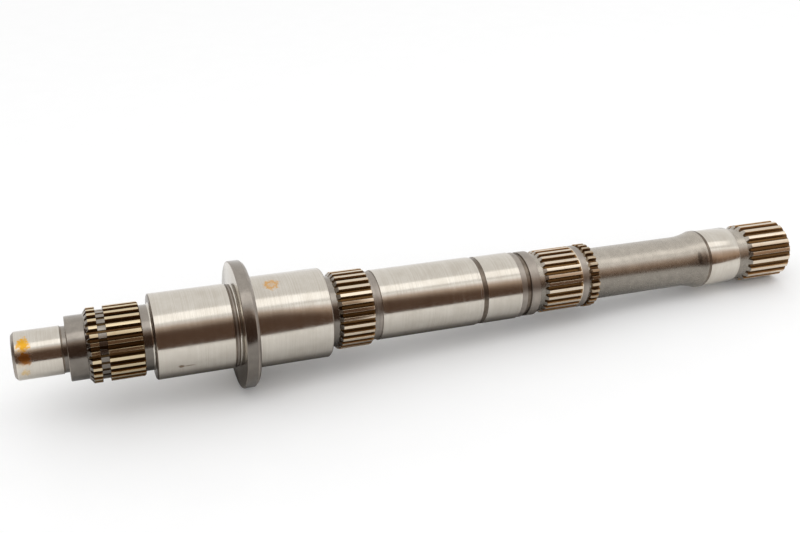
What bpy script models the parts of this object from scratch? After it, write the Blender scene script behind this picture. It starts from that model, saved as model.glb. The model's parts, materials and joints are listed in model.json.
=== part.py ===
# Main shaft of a manual gearbox: one turned, ground and splined steel piece.
# Metres, +Z up. It lies as it comes to rest, on its flange and its tail, with the tail at +X.
import math

import bmesh
import bpy

# Facets around the shaft, the roll that lays a facet on the ground, and the angle in degrees from
# which an edge is shaded sharp
facets = 48
resting_roll = math.pi / facets
sharp_angle = 35.0

# Pilot journal and the collar behind it, from the front end of the shaft
pilot_diameter = 0.0258
pilot_length = 0.0243
pilot_chamfer = 0.0017
pilot_groove_diameter = 0.0248
pilot_groove_length = 0.0027
collar_diameter = 0.0348
collar_length = 0.0093
collar_chamfer = 0.0004

# Front spline, with a snap ring's groove across its teeth
front_spline_teeth = 27
front_spline_diameter = 0.0406
front_spline_depth = 0.0022
front_spline_turn = 4.4
front_spline_entry = 0.0022
front_spline_lead = 0.0066
front_spline_length = 0.0181
snap_groove_diameter = 0.0371
snap_groove_width = 0.0042

# Gear journals on either side of the flange
front_journal_diameter = 0.0472
front_journal_length = 0.0416
front_journal_neck = 0.0053
front_journal_groove_diameter = 0.0459
front_journal_groove_length = 0.0035
rear_journal_diameter = 0.0512
rear_journal_length = 0.0428
rear_journal_neck = 0.0044
journal_chamfer = 0.0006
neck_fillet = 0.0010
edge_break = 0.0003

# Flange
flange_diameter = 0.0715
flange_width = 0.0080
flange_front_chamfer = 0.0004
flange_rear_chamfer = 0.0018

# Middle spline
middle_spline_teeth = 30
middle_spline_diameter = 0.0446
middle_spline_depth = 0.0020
middle_spline_turn = 1.8
middle_spline_length = 0.0208

# Bearing journals behind the middle spline
land_diameter = 0.0402
land_length = 0.0022
land_groove_diameter = 0.0397
land_groove_length = 0.0028
bearing_journal_diameter = 0.0410
bearing_journal_length = 0.0606
bearing_step_diameter = 0.0405
bearing_step_length = 0.0016
bearing_groove_diameter = 0.0398
bearing_groove_length = 0.0029
second_journal_diameter = 0.0404
second_journal_length = 0.0221
relief_diameter = 0.0395
relief_length = 0.0037
clip_groove_diameter = 0.0373
clip_groove_length = 0.0029
stop_diameter = 0.0392
stop_length = 0.0058

# Rear spline and the toothed ring behind it
rear_spline_teeth = 26
rear_spline_diameter = 0.0382
rear_spline_depth = 0.0017
rear_spline_turn = 12.0
rear_spline_undercut = 0.0041
rear_spline_length = 0.0244
band_length = 0.0045
band_undercut = 0.0021
ring_teeth = 28
ring_diameter = 0.0392
ring_depth = 0.0019
ring_turn = 1.9
ring_width = 0.0055
ring_chamfer = 0.0005
ring_fillet = 0.0015

# Neck, the flare that widens to the shoulder, and the bearing seat
neck_diameter = 0.0319
neck_length = 0.0642
flare_length = 0.0143
shoulder_diameter = 0.0367
shoulder_length = 0.0025
seat_diameter = 0.0359
seat_length = 0.0224
seat_chamfer = 0.0004

# Output spline on the tail
tail_spline_teeth = 20
tail_spline_diameter = 0.0364
tail_spline_depth = 0.0019
tail_spline_turn = 11.6
tail_spline_undercut = 0.0076
tail_spline_length = 0.0322
tail_chamfer = 0.0014

# Centre holes that hold the shaft for grinding
centre_hole_mouth = 0.0060
centre_hole_drill = 0.0026
centre_hole_depth = 0.0060
centre_hole_angle = 60.0

# Tooth spaces: width as a share of the pitch, and how far the tool runs past the teeth
space_at_tip = 0.54
space_at_root = 0.33
tool_overrun = 0.0004
tool_clearance = 0.0006
undercut_clearance = 0.00015

# Arcs
fillet_steps = 3
flare_steps = 5

# Steel
steel_colour = (0.52, 0.49, 0.45, 1.0)
steel_metallic = 0.95
steel_roughness = 0.36


def clear_scene():
    for item in list(bpy.data.objects):
        bpy.data.objects.remove(item, do_unlink=True)


def steel():
    material = bpy.data.materials.new("ground_steel")
    material.use_nodes = True
    shader = material.node_tree.nodes["Principled BSDF"]
    shader.inputs["Base Color"].default_value = steel_colour
    shader.inputs["Metallic"].default_value = steel_metallic
    shader.inputs["Roughness"].default_value = steel_roughness
    material.diffuse_color = steel_colour
    return material


# The turned outline is a list of (distance from the front end, radius)
def turn_to(outline, distance, radius):
    last = outline[-1] if outline else None
    if last is None or abs(last[0] - distance) > 1e-9 or abs(last[1] - radius) > 1e-9:
        outline.append((distance, radius))


def turn_cylinder(outline, diameter, length, front_chamfer=0.0, rear_chamfer=0.0):
    start = outline[-1][0]
    radius = diameter / 2
    turn_to(outline, start, radius - front_chamfer)
    turn_to(outline, start + front_chamfer, radius)
    turn_to(outline, start + length - rear_chamfer, radius)
    turn_to(outline, start + length, radius - rear_chamfer)


def turn_arc(outline, centre, radius, first, last, steps):
    for step in range(steps + 1):
        angle = math.radians(first + (last - first) * step / steps)
        turn_to(outline, centre[0] + radius * math.cos(angle), centre[1] + radius * math.sin(angle))


def turn_spline(outline, diameter, depth, length, chamfer):
    # a 45 degree entry out of the undercut in front of it; returns where the spline starts and ends
    start = outline[-1][0]
    end = start + length
    turn_to(outline, start + depth + undercut_clearance, diameter / 2)
    turn_to(outline, end - chamfer, diameter / 2)
    turn_to(outline, end, diameter / 2 - chamfer)
    return start, end


def undercut_below(diameter, depth):
    return diameter - 2 * (depth + undercut_clearance)


def turn_neck_fillet(outline, diameter, length, fillet):
    start = outline[-1][0]
    turn_to(outline, start, diameter / 2)
    turn_arc(outline, (start + length - fillet, diameter / 2 + fillet), fillet, -90, 0, fillet_steps)


def turn_flare(outline, small_diameter, large_diameter, length):
    # an arc tangent to the neck that rises to the shoulder
    start = outline[-1][0]
    rise = (large_diameter - small_diameter) / 2
    radius = (length ** 2 + rise ** 2) / (2 * rise)
    sweep = math.degrees(math.asin(length / radius))
    turn_arc(outline, (start, small_diameter / 2 + radius), radius, -90, sweep - 90, flare_steps)


def turn_centre_hole(outline, face, inward):
    # from the drill's point out to the mouth, for a face at this distance
    drill_end = face + inward * centre_hole_depth
    cone_half_angle = math.radians(centre_hole_angle / 2)
    cone_end = face + inward * (centre_hole_mouth - centre_hole_drill) / 2 / math.tan(cone_half_angle)
    point = drill_end + inward * centre_hole_drill / 2 * math.tan(cone_half_angle)
    hole = [(point, 0.0), (drill_end, centre_hole_drill / 2), (cone_end, centre_hole_drill / 2),
            (face, centre_hole_mouth / 2)]
    outline.extend(hole if inward > 0 else reversed(hole))


def turned_outline():
    # returns the outline and where each spline starts and ends
    outline = []
    places = {}
    turn_centre_hole(outline, 0.0, 1)
    turn_cylinder(outline, pilot_diameter, pilot_length, pilot_chamfer, 0.0)
    turn_cylinder(outline, pilot_groove_diameter, pilot_groove_length)
    turn_cylinder(outline, collar_diameter, collar_length, collar_chamfer, 0.0)

    start = outline[-1][0]
    turn_to(outline, start + front_spline_entry, front_spline_diameter / 2)
    turn_to(outline, start + front_spline_lead, front_spline_diameter / 2)
    turn_cylinder(outline, snap_groove_diameter, snap_groove_width)
    turn_cylinder(outline, front_spline_diameter, front_spline_length, 0.0, journal_chamfer)
    places["front"] = (start, outline[-1][0])
    turn_neck_fillet(outline, undercut_below(front_spline_diameter, front_spline_depth),
                     front_journal_neck, neck_fillet)
    turn_cylinder(outline, front_journal_diameter, front_journal_length, journal_chamfer)
    turn_cylinder(outline, front_journal_groove_diameter, front_journal_groove_length)

    turn_cylinder(outline, flange_diameter, flange_width, flange_front_chamfer, flange_rear_chamfer)
    turn_cylinder(outline, rear_journal_diameter, rear_journal_length, 0.0, journal_chamfer)
    turn_cylinder(outline, undercut_below(middle_spline_diameter, middle_spline_depth), rear_journal_neck)

    places["middle"] = turn_spline(outline, middle_spline_diameter, middle_spline_depth,
                                   middle_spline_length, journal_chamfer)
    turn_cylinder(outline, land_diameter, land_length)
    turn_cylinder(outline, land_groove_diameter, land_groove_length)
    turn_cylinder(outline, bearing_journal_diameter, bearing_journal_length, edge_break)
    turn_cylinder(outline, bearing_step_diameter, bearing_step_length)
    turn_cylinder(outline, bearing_groove_diameter, bearing_groove_length)
    turn_cylinder(outline, second_journal_diameter, second_journal_length)
    turn_cylinder(outline, relief_diameter, relief_length)
    turn_cylinder(outline, clip_groove_diameter, clip_groove_length)
    turn_cylinder(outline, stop_diameter, stop_length)

    turn_cylinder(outline, undercut_below(rear_spline_diameter, rear_spline_depth), rear_spline_undercut)
    places["rear"] = turn_spline(outline, rear_spline_diameter, rear_spline_depth,
                                 rear_spline_length, 0.0)
    turn_cylinder(outline, rear_spline_diameter, band_length)
    turn_cylinder(outline, undercut_below(ring_diameter, ring_depth), band_undercut)
    start = outline[-1][0]
    turn_cylinder(outline, ring_diameter, ring_width, ring_chamfer, ring_chamfer)
    places["ring"] = (start, outline[-1][0])

    neck_start = outline[-1][0]
    turn_arc(outline, (neck_start + ring_fillet, neck_diameter / 2 + ring_fillet), ring_fillet,
             180, 270, fillet_steps)
    turn_to(outline, neck_start + neck_length, neck_diameter / 2)
    turn_flare(outline, neck_diameter, shoulder_diameter, flare_length)
    turn_cylinder(outline, shoulder_diameter, shoulder_length)
    turn_cylinder(outline, seat_diameter, seat_length, 0.0, seat_chamfer)
    turn_cylinder(outline, undercut_below(tail_spline_diameter, tail_spline_depth), tail_spline_undercut)
    places["tail"] = turn_spline(outline, tail_spline_diameter, tail_spline_depth,
                                 tail_spline_length, tail_chamfer)
    turn_centre_hole(outline, outline[-1][0], -1)
    return outline, places


def turned_blank(outline, material):
    # the outline lies in the XZ plane, front end up, and is turned about Z
    work = bmesh.new()
    points = [work.verts.new((radius, 0.0, -distance)) for distance, radius in outline]
    edges = [work.edges.new(pair) for pair in zip(points, points[1:])]
    bmesh.ops.spin(work, geom=points + edges, cent=(0, 0, 0), axis=(0, 0, 1), angle=math.tau,
                   steps=facets, use_merge=True)
    bmesh.ops.remove_doubles(work, verts=work.verts, dist=1e-6)
    bmesh.ops.recalc_face_normals(work, faces=work.faces)
    mesh = bpy.data.meshes.new("main_shaft")
    work.to_mesh(mesh)
    work.free()
    mesh.shade_smooth()
    mesh.set_sharp_from_angle(angle=math.radians(sharp_angle))
    mesh.materials.append(material)
    shaft = bpy.data.objects.new("main_shaft", mesh)
    bpy.context.collection.objects.link(shaft)
    return shaft


def spline_cutter(name, teeth, diameter, depth, turn, start, end, end_slope=0.0):
    # one closed wedge for each tooth space; turn is a crest's angle from the top towards the front
    # in degrees, as the shaft lies
    tip_radius = diameter / 2
    root_radius = tip_radius - depth
    outer_radius = tip_radius + tool_clearance
    pitch = math.tau / teeth
    root_half = space_at_root * pitch * root_radius / 2
    tip_half = space_at_tip * pitch * tip_radius / 2
    outer_half = root_half + (tip_half - root_half) * (outer_radius - root_radius) / depth
    outer_end = end + end_slope * (outer_radius - root_radius)
    work = bmesh.new()
    for tooth in range(teeth):
        angle = (tooth + 0.5) * pitch - math.radians(turn) - resting_roll
        across = (-math.sin(angle), math.cos(angle))
        along = (math.cos(angle), math.sin(angle))
        ring = []
        for place_root, place_outer in ((start, start), (end, outer_end)):
            section = ((root_radius, root_half, place_root), (root_radius, -root_half, place_root),
                       (outer_radius, -outer_half, place_outer), (outer_radius, outer_half, place_outer))
            ring.append([work.verts.new((along[0] * radius + across[0] * half,
                                         along[1] * radius + across[1] * half, -place))
                         for radius, half, place in section])
        front, back = ring
        work.faces.new(front)
        work.faces.new(reversed(back))
        for side in range(4):
            after = (side + 1) % 4
            work.faces.new((front[after], front[side], back[side], back[after]))
    bmesh.ops.recalc_face_normals(work, faces=work.faces)
    mesh = bpy.data.meshes.new(name)
    work.to_mesh(mesh)
    work.free()
    cutter = bpy.data.objects.new(name, mesh)
    bpy.context.collection.objects.link(cutter)
    cutter.hide_render = True
    cutter.display_type = "WIRE"
    return cutter


def cut(shaft, cutter):
    boolean = shaft.modifiers.new(cutter.name, "BOOLEAN")
    boolean.operation = "DIFFERENCE"
    boolean.solver = "EXACT"
    boolean.object = cutter


def cut_splines(shaft, places):
    over = tool_overrun
    front, middle, rear = places["front"], places["middle"], places["rear"]
    ring, tail = places["ring"], places["tail"]
    cutters = [
        spline_cutter("front_spline_tool", front_spline_teeth, front_spline_diameter, front_spline_depth,
                      front_spline_turn, front[0] - over, front[1] + over),
        spline_cutter("middle_spline_tool", middle_spline_teeth, middle_spline_diameter,
                      middle_spline_depth, middle_spline_turn, middle[0] - over, middle[1] + over),
        spline_cutter("rear_spline_tool", rear_spline_teeth, rear_spline_diameter, rear_spline_depth,
                      rear_spline_turn, rear[0] - over, rear[1] - rear_spline_depth, 1.0),
        spline_cutter("ring_tool", ring_teeth, ring_diameter, ring_depth, ring_turn,
                      ring[0] - over, ring[1] + over),
        spline_cutter("tail_spline_tool", tail_spline_teeth, tail_spline_diameter, tail_spline_depth,
                      tail_spline_turn, tail[0] - over, tail[1] + over),
    ]
    for cutter in cutters:
        cutter.parent = shaft
        cut(shaft, cutter)


def evaluated_mesh(shaft):
    bpy.context.view_layer.update()
    depsgraph = bpy.context.evaluated_depsgraph_get()
    return bpy.data.meshes.new_from_object(shaft.evaluated_get(depsgraph))


def balance_distance(mesh):
    # distance from the front end to the centre of mass, from the signed volumes under the faces
    mesh.calc_loop_triangles()
    volume = 0.0
    moment = 0.0
    for triangle in mesh.loop_triangles:
        first, second, third = (mesh.vertices[index].co for index in triangle.vertices)
        part = first.dot(second.cross(third)) / 6
        volume += part
        moment += part * -(first.z + second.z + third.z) / 4
    return moment / volume


def resting_pose(mesh, roll):
    # the two lowest places on either side of the balance carry the shaft
    low = {}
    for vertex in mesh.vertices:
        distance = round(-vertex.co.z, 7)
        height = vertex.co.x * math.cos(roll) - vertex.co.y * math.sin(roll)
        low[distance] = min(low.get(distance, height), height)
    hull = []
    for point in sorted(low.items()):
        while len(hull) > 1:
            (x0, z0), (x1, z1) = hull[-2:]
            if (x1 - x0) * (point[1] - z0) - (z1 - z0) * (point[0] - x0) > 0:
                break
            hull.pop()
        hull.append(point)
    balance = balance_distance(mesh)
    for near, far in zip(hull, hull[1:]):
        if near[0] <= balance <= far[0]:
            tilt = math.atan2(far[1] - near[1], far[0] - near[0])
            return tilt, near
    return 0.0, hull[0]


def lay_down(shaft):
    mesh = evaluated_mesh(shaft)
    tilt, contact = resting_pose(mesh, resting_roll)
    shaft.rotation_mode = "ZYX"
    shaft.rotation_euler = (0.0, tilt - math.pi / 2, resting_roll)
    bpy.context.view_layer.update()
    placed = [shaft.matrix_world @ vertex.co for vertex in mesh.vertices]
    shaft.location = (-(min(p.x for p in placed) + max(p.x for p in placed)) / 2,
                      -(min(p.y for p in placed) + max(p.y for p in placed)) / 2,
                      -min(p.z for p in placed))
    bpy.data.meshes.remove(mesh)
    return math.degrees(tilt), contact


def main():
    clear_scene()
    outline, places = turned_outline()
    shaft = turned_blank(outline, steel())
    cut_splines(shaft, places)
    tilt, contact = lay_down(shaft)
    print("main_shaft drops", round(tilt, 4), "degrees to the tail and rests at", contact)


main()
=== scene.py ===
import json
import math

import bpy
import numpy as np
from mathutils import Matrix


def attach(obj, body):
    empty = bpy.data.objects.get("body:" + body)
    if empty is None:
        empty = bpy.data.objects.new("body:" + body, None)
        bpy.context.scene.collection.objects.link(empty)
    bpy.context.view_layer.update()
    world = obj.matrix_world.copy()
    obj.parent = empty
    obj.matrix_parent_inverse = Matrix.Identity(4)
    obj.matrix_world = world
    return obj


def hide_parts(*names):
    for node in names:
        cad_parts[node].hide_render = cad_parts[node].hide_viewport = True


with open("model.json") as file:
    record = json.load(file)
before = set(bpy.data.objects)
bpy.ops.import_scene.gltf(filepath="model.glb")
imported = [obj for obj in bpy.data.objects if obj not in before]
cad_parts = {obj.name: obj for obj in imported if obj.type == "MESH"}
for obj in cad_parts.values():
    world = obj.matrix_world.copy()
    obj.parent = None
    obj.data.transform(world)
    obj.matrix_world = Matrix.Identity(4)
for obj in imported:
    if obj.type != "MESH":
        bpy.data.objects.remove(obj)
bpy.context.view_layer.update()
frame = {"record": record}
millimetre = 0.001
print("frame loaded")


# Place of the shaft: along runs from the pilot to the tail, up and back are square to it
def readShaftLine():
    ends = {mount["name"]: mount for mount in frame["record"]["mounts"]}
    faceHeight = 7.5 * millimetre  # the record's point on the pilot's end face lies this far above its centre
    along = np.array(ends["tail_end_face"]["axis"])
    along /= np.linalg.norm(along)
    back = np.array((0.0, 1.0, 0.0))
    up = np.cross(along, back)
    pilotCentre = np.array(ends["pilot_end_face"]["pos_m"]) - up * faceHeight
    return dict(along=along, back=back, up=up, pilotCentre=pilotCentre,
                tilt=math.atan2(-along[2], along[0]))


shaftLine = readShaftLine()


# Sizes in millimetres and angles in degrees. Crests, undercuts, the ring's groove, the mouth and the drill
# are diameters too; chamfers, fillets, reliefs and the depth of teeth are measured on the radius.
pilot = dict(diameter=25.8, length=24.3, chamfer=1.7, grooveDiameter=24.8, grooveLength=2.7, grooveShade=0.8,
             collarDiameter=34.8, collarLength=9.3, collarChamfer=0.4)
frontSpline = dict(teeth=27, crest=40.6, depth=2.2, turn=4.4, entry=2.2, lead=6.6, length=18.1,
                   endChamfer=0.6, ringGroove=37.1, ringGrooveWidth=4.2, neckDiameter=35.9,
                   neckLength=5.3, neckFillet=1.0)
frontJournal = dict(diameter=47.2, length=41.6, chamfer=0.7, grooveDiameter=45.9, grooveLength=3.5,
                    ridgeDiameter=46.4, ridgeStart=1.1, ridgeWidth=1.0, fillet=0.7)
flange = dict(diameter=71.3, width=8.0, frontChamfer=0.4, rearChamfer=1.8)
rearJournal = dict(diameter=51.2, length=42.8, chamfer=0.5, darkStart=0.55, neckLength=4.4,
                   neckDiameter=40.3)
middleSpline = dict(teeth=30, crest=44.6, depth=2.0, turn=1.8, length=20.8, endChamfer=0.6)
# Diameter, length and finish of each step behind the middle spline, in order; the two grooves carry painted
# shade
bearings = dict(land=(40.2, 2.2, "turned"), landGroove=(39.7, 2.8, "turned"), first=(41.0, 60.6, "ground"),
                step=(40.5, 1.6, "ground"), groove=(39.8, 2.9, "shadedRecess"), second=(40.4, 22.1, "ground"),
                relief=(39.5, 3.7, "turned"), clipGroove=(37.3, 2.9, "shadedRecess"), stop=(39.2, 5.8, "turned"))
rearSpline = dict(teeth=26, crest=38.2, depth=1.7, turn=12.0, undercut=34.5, undercutLength=4.1,
                  length=24.4, bandLength=4.5)
toothedRing = dict(teeth=28, crest=39.2, depth=1.9, turn=1.9, width=5.5, chamfer=0.5,
                   undercut=35.1, undercutLength=2.1)
neck = dict(diameter=31.9, length=64.2, fillet=1.5, flareLength=14.3, shoulderDiameter=36.7,
            shoulderLength=2.5, darkRim=1.7)
seat = dict(diameter=35.9, length=22.4, chamfer=0.4, undercut=32.3, undercutLength=7.6, relief=0.1,
            reliefLength=0.6)
tailSpline = dict(teeth=20, crest=36.4, depth=1.9, turn=11.6, length=32.2, endChamfer=1.4, faceStep=0.3)
centreHole = dict(mouth=6.0, drill=2.6, depth=6.0, halfAngle=30.0)
# How the surface is divided, joined and rounded; corners that turn by more than cornerSine are broken
surface = dict(segments=160, edgeBreak=0.16, toothEdgeBreak=0.096, breakShare=0.35, cornerSine=0.45,
               filletSteps=5, flareSteps=14, entrySteps=5, splineMargin=0.4, bandGap=0.1, samePlace=1e-6,
               mergeStep=0.0005, sharpAngle=24.0, uvLength=480.0)

finishes = ["ground", "turned", "dull", "tooth", "shadedRecess"]


# An outline is a list of (distance, radius, finish of the stretch that ends there)
def cutTo(outline, distance, radius, finish):
    lastDistance, lastRadius = outline[-1][:2]
    if max(abs(lastDistance - distance), abs(lastRadius - radius)) > surface["samePlace"]:
        outline.append((distance, radius, finish))


# A cylinder that starts where the outline ends, with a face or chamfer before and after it
def cutCylinder(outline, diameter, length, finish, frontChamfer=0.0, rearChamfer=0.0, faceFinish="turned"):
    start, radius = outline[-1][0], diameter / 2
    cutTo(outline, start, radius - frontChamfer, faceFinish)
    cutTo(outline, start + frontChamfer, radius, faceFinish)
    cutTo(outline, start + length - rearChamfer, radius, finish)
    cutTo(outline, start + length, radius - rearChamfer, faceFinish)


# An arc around a centre, by angles in degrees from the shaft's own direction
def cutArc(outline, centre, radius, first, last, steps, finish):
    for angle in np.radians(np.linspace(first, last, steps + 1)):
        cutTo(outline, centre[0] + radius * math.cos(angle), centre[1] + radius * math.sin(angle), finish)


# Each outer corner becomes a short chamfer, so that edges catch the light
def breakEdges(outline, size):
    points = np.array([corner[:2] for corner in outline])
    steps = np.diff(points, axis=0)
    lengths = np.hypot(steps[:, 0], steps[:, 1])
    directions = steps / lengths[:, None]
    turning = directions[:-1, 0] * directions[1:, 1] - directions[:-1, 1] * directions[1:, 0]
    broken = [outline[0]]
    for index in range(1, len(outline) - 1):
        distance, radius, finish = outline[index]
        nextFinish = outline[index + 1][2]
        if turning[index - 1] < -surface["cornerSine"]:
            back = min(size, surface["breakShare"] * lengths[index - 1])
            ahead = min(size, surface["breakShare"] * lengths[index])
            first = points[index] - directions[index - 1] * back
            second = points[index] + directions[index] * ahead
            broken.append((first[0], first[1], finish))
            broken.append((second[0], second[1], nextFinish))
        else:
            broken.append((distance, radius, finish))
    broken.append(outline[-1])
    return broken


# A tooth's flank: share of the pitch from the crest's middle, and height there from root to crest.
# It bulges a little, as an involute does, and meets the root in a fillet.
flank = dict(places=(0.18, 0.198, 0.22, 0.255, 0.29, 0.32, 0.345, 0.375),
             heights=(1.0, 0.965, 0.84, 0.59, 0.33, 0.14, 0.05, 0.0), onCrest=0.10, onRoot=0.44)


# Height of the teeth at each angle: 1 on the crests, 0 on the roots, and the flank's between them
def toothShape(angles, teeth, turn):
    share = (angles - math.radians(turn)) * teeth / math.tau
    share = np.abs(share - np.round(share))
    return np.interp(share, flank["places"], flank["heights"])


# Angles around the shaft for one row of teeth: the same stops on every tooth
def toothAngles(teeth, turn):
    half = np.array((0.0, flank["onCrest"]) + flank["places"] + (flank["onRoot"],))
    stops = np.concatenate((half, [0.5], 1.0 - half[:0:-1]))
    whole = (np.arange(teeth)[:, None] + stops[None, :]).ravel() / teeth
    return np.sort(np.mod(whole * math.tau + math.radians(turn), math.tau))


# A turned stretch: radius by distance, the same at every angle
def turnedBand(outline):
    distances, radii, bandFinishes = map(np.array, zip(*outline))
    angles = np.linspace(0.0, math.tau, surface["segments"], endpoint=False)
    return dict(distances=distances, angles=angles, radii=np.repeat(radii[:, None], len(angles), axis=1),
                heights=np.ones((len(radii), len(angles))), finishes=bandFinishes)


# A row of teeth: the smaller of the turned outline and the tooth's own section; where the tool
# runs out, the floor of the space rises to the crest. The height is 1 on all that was only turned.
def toothedBand(outline, spline, floorRise=None):
    distances, radii, bandFinishes = map(np.array, zip(*outline))
    angles = toothAngles(spline["teeth"], spline["turn"])
    crest, root = spline["crest"] / 2, spline["crest"] / 2 - spline["depth"]
    section = root + (crest - root) * toothShape(angles, spline["teeth"], spline["turn"])
    section = np.repeat(section[None, :], len(distances), axis=0)
    if floorRise is not None:
        floor = np.interp(distances, [floorRise - spline["depth"], floorRise], [root, crest])
        section = np.maximum(section, floor[:, None])
    shaped = np.minimum(radii[:, None], section)
    heights = np.where(radii[:, None] < section, 1.0, np.clip((shaped - root) / (crest - root), 0.0, 1.0))
    return dict(distances=distances, angles=angles, radii=shaped, heights=heights, finishes=bandFinishes)


# Faces between two rings that may have different numbers of points, both in order of angle
def stitchRings(firstAngles, secondAngles, firstStart, secondStart):
    firstCount, secondCount = len(firstAngles), len(secondAngles)
    firstEnds = np.append(firstAngles[1:], firstAngles[0] + math.tau)
    secondEnds = np.append(secondAngles[1:], secondAngles[0] + math.tau)
    secondBehind = np.searchsorted(secondEnds, firstEnds, side="left")
    firstBehind = np.searchsorted(firstEnds, secondEnds, side="right")
    firstIndex, secondIndex = np.arange(firstCount), np.arange(secondCount)
    fromFirst = np.stack((firstStart + firstIndex, firstStart + (firstIndex + 1) % firstCount,
                          secondStart + secondBehind % secondCount), axis=1)
    fromSecond = np.stack((firstStart + firstBehind % firstCount,
                           secondStart + (secondIndex + 1) % secondCount, secondStart + secondIndex), axis=1)
    return np.concatenate((fromFirst, fromSecond))


# All bands in order, joined to one closed surface; the first and last points lie on the axis.
# A face has four corners, or three and -1 where two bands meet.
def joinBands(bands):
    pointParts, heightParts, faceParts, finishParts = [], [], [], []
    start = 0
    previous = None
    for band in bands:
        rows, count = band["radii"].shape
        angles = band["angles"]
        across = band["radii"][..., None] * (np.cos(angles)[None, :, None] * shaftLine["up"]
                                             - np.sin(angles)[None, :, None] * shaftLine["back"])
        points = shaftLine["pilotCentre"] + millimetre * (
            band["distances"][:, None, None] * shaftLine["along"] + across)
        pointParts.append(points.reshape(-1, 3))
        heightParts.append(band["heights"].ravel())
        index = start + np.arange(rows * count).reshape(rows, count)
        turned = np.roll(index, -1, axis=1)
        quads = np.stack((index[:-1], turned[:-1], turned[1:], index[1:]), axis=-1).reshape(-1, 4)
        faceParts.append(quads)
        rowFinish = np.array([finishes.index(name) for name in band["finishes"]])
        finishParts.append(np.repeat(rowFinish[1:], count))
        if previous is not None:
            ring = stitchRings(previous["angles"], angles, previous["lastRow"], start)
            faceParts.append(np.concatenate((ring, np.full((len(ring), 1), -1)), axis=1))
            finishParts.append(np.full(len(ring), rowFinish[0]))
        previous = dict(angles=angles, lastRow=start + (rows - 1) * count)
        start += rows * count
    faces = np.concatenate(faceParts)
    return np.concatenate(pointParts), np.concatenate(heightParts), faces, np.concatenate(finishParts)


# Points that lie together are merged. An end's ring on the axis is one point repeated, so the corners
# that repeat and the faces with no width are dropped.
def makeMesh(name, points, heights, faces, faceFinish):
    scaled = np.round(points / (surface["mergeStep"] * millimetre)).astype(np.int64)
    firstUse, merged = np.unique(scaled, axis=0, return_index=True, return_inverse=True)[1:]
    merged = merged.ravel()
    points, heights = points[firstUse], heights[firstUse]
    corners = np.where(faces >= 0, merged[faces], -1)
    keep = corners != np.roll(corners, 1, axis=1)
    triangle = faces[:, 3] < 0
    keep[triangle, 0] = corners[triangle, 0] != corners[triangle, 2]
    keep[triangle, 3] = False
    counts = keep.sum(axis=1)
    whole = counts >= 3
    keep &= whole[:, None]
    counts, faceFinish = counts[whole], faceFinish[whole]
    loops = corners[keep]
    mesh = bpy.data.meshes.new(name)
    mesh.vertices.add(len(points))
    mesh.vertices.foreach_set("co", points.ravel())
    mesh.loops.add(len(loops))
    mesh.loops.foreach_set("vertex_index", loops)
    mesh.polygons.add(len(counts))
    mesh.polygons.foreach_set("loop_start", np.concatenate(([0], np.cumsum(counts)[:-1])))
    mesh.polygons.foreach_set("loop_total", counts)
    mesh.polygons.foreach_set("material_index", faceFinish)
    mesh.update(calc_edges=True)
    tooth = mesh.attributes.new("toothHeight", "FLOAT", "POINT")
    tooth.data.foreach_set("value", heights)
    mesh.validate()
    return mesh


# The UV map that the grinding lines' tangent follows: u runs around the shaft and v along it
def addLengthUv(mesh):
    points = np.empty(len(mesh.vertices) * 3)
    mesh.vertices.foreach_get("co", points)
    points = (points.reshape(-1, 3) - shaftLine["pilotCentre"]) / millimetre
    loops = np.empty(len(mesh.loops), dtype=np.int64)
    mesh.loops.foreach_get("vertex_index", loops)
    totals = np.empty(len(mesh.polygons), dtype=np.int64)
    mesh.polygons.foreach_get("loop_total", totals)
    around = np.arctan2(-(points @ shaftLine["back"]), points @ shaftLine["up"]) / math.tau
    distance = points @ shaftLine["along"] / surface["uvLength"]
    u, v = around[loops], distance[loops]
    starts = np.concatenate(([0], np.cumsum(totals)[:-1]))
    faceFirst = np.repeat(u[starts], totals)
    u = u + np.round(faceFirst - u)  # a face across the seam keeps its corners together
    layer = mesh.uv_layers.new(name="aroundAndAlong")
    layer.data.foreach_set("uv", np.stack((u, v), axis=1).ravel())


# A centre hole in an end face: a cone, a drilled hole and the drill's own blunt point
def centreHoleOutline(face, inward):
    tangent = math.tan(math.radians(centreHole["halfAngle"]))
    drillEnd = face + inward * centreHole["depth"]
    coneEnd = face + inward * (centreHole["mouth"] - centreHole["drill"]) / 2 / tangent
    hole = [(drillEnd + inward * centreHole["drill"] / 2 * tangent, 0.0, "turned"),
            (drillEnd, centreHole["drill"] / 2, "turned"), (coneEnd, centreHole["drill"] / 2, "turned"),
            (face, centreHole["mouth"] / 2, "turned")]
    return hole if inward > 0 else hole[::-1]


# A spline's band starts a little before its teeth, on the neck there, and a cone rises to the crests
def entryCone(start, neckRadius, crest, length):
    outline = [(start - surface["splineMargin"], neckRadius, "dull"), (start, neckRadius, "dull")]
    for share in np.linspace(0.0, 1.0, surface["entrySteps"] + 1)[1:]:
        cutTo(outline, start + length * share, neckRadius + (crest - neckRadius) * share, "dull")
    return outline


# A spline between two necks. Where a ring's groove crosses the teeth, the length counts from behind it.
def splineOutline(start, spline, before, after, coneLength):
    crest, chamfer = spline["crest"] / 2, spline["endChamfer"]
    outline = entryCone(start, before, crest, coneLength)
    if "ringGroove" in spline:
        groove, grooveStart = spline["ringGroove"] / 2, start + spline["lead"]
        start = grooveStart + spline["ringGrooveWidth"]
        cutTo(outline, grooveStart, crest, "tooth")
        cutTo(outline, grooveStart, groove, "dull")
        cutTo(outline, start, groove, "dull")
        cutTo(outline, start, crest, "dull")
    end = start + spline["length"]
    cutTo(outline, end - chamfer, crest, "tooth")
    cutTo(outline, end, crest - chamfer, "tooth")
    cutTo(outline, end, after, "dull")
    cutTo(outline, end + surface["splineMargin"], after, "dull")
    return outline, end


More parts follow.
